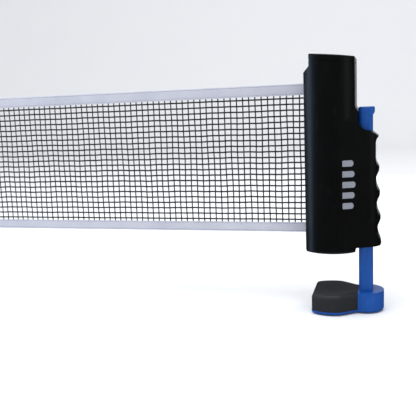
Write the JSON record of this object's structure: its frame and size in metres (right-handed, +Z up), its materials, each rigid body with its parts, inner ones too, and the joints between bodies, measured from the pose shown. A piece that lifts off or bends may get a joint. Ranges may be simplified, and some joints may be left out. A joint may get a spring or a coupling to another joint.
{
  "type": "table tennis net clamp",
  "caption": "Retractable table tennis net post: a casing with a sprung net reel, and a thumb-squeezed plunger whose padded foot clamps the table edge.",
  "frame": {"origin": "on the reel's axis, in the plane where the casing's seat meets the table top", "axes": "+Z up, +X away from the table and the net, +Y along the table's end edge, away from the front of the casing"},
  "size_m": [0.4427, 0.057, 0.2339],
  "materials": {
    "casing_black": "satin moulded, fine grain",
    "guide_black": "satin",
    "seat_rubber": "matt",
    "pad_rubber": "matt, soft",
    "plunger_blue": "satin moulded",
    "mark_grey": "printed",
    "felt_grey": "felt",
    "screw_steel": "zinc plated",
    "axle_steel": "ground",
    "spring_steel": "drawn wire",
    "reel_plastic": "natural moulded",
    "bushing_bronze": "sintered",
    "net_black": "knotted thread",
    "tape_white": "woven, stitched",
    "bar_white": "pultruded rod"
  },
  "bodies": {
    "post": {"front_shell": "casing_black", "rear_shell": "casing_black", "top_cap": "casing_black", "seat_plate": "casing_black", "seat_pad": "seat_rubber", "slot_guide_front": "guide_black", "slot_guide_rear": "guide_black", "slot_felts": "felt_grey", "casing_screws": "screw_steel", "casing_mark": "mark_grey", "upper_plate": "casing_black", "reel_axle": "axle_steel", "spring_anchor": "reel_plastic", "rewind_spring": "spring_steel", "spring_peg": "axle_steel", "spring_disc": "axle_steel", "clamp_spring": "spring_steel", "lower_guide_bush": "reel_plastic", "upper_guide_bush": "reel_plastic"},
    "plunger": {"stem": "plunger_blue", "thumb_button": "plunger_blue", "button_pin": "axle_steel", "foot": "plunger_blue", "foot_pad": "pad_rubber", "foot_screw": "screw_steel", "pad_screws": "screw_steel"},
    "reel": {"reel_tube": "reel_plastic", "net_clip": "reel_plastic", "lower_flange": "reel_plastic", "upper_flange": "reel_plastic", "lower_bushing": "bushing_bronze", "upper_bushing": "bushing_bronze", "net_roll": "net_black"},
    "net_end": {"end_bar": "bar_white", "end_hem": "tape_white", "end_caps": "guide_black", "end_hooks": "screw_steel", "net_mesh": "net_black", "top_tape": "tape_white", "bottom_tape": "tape_white"}
  },
  "joints": [
    {"name": "jaw_slide", "type": "slide", "parent": "post", "child": "plunger", "axis": [0, 0, 1], "range_m": [-0.0125, 0.038], "stiffness_N_per_m": 600, "springref_m": 0.00152, "deforming": ["clamp_spring"]},
    {"name": "net_rewind", "type": "slide", "parent": "post", "child": "net_end", "axis": [1, 0, 0], "range_m": [0, 0.348], "deforming": ["net_mesh", "top_tape", "bottom_tape"]},
    {"name": "reel_turn", "type": "hinge", "parent": "post", "child": "reel", "pos_m": [0, 0, 0], "axis": [0, 0, 1], "range_deg": [-2300, 100]}
  ],
  "couplings": [
    {"joint": "reel_turn", "follows": "net_rewind", "rad_per_m": -111}
  ]
}
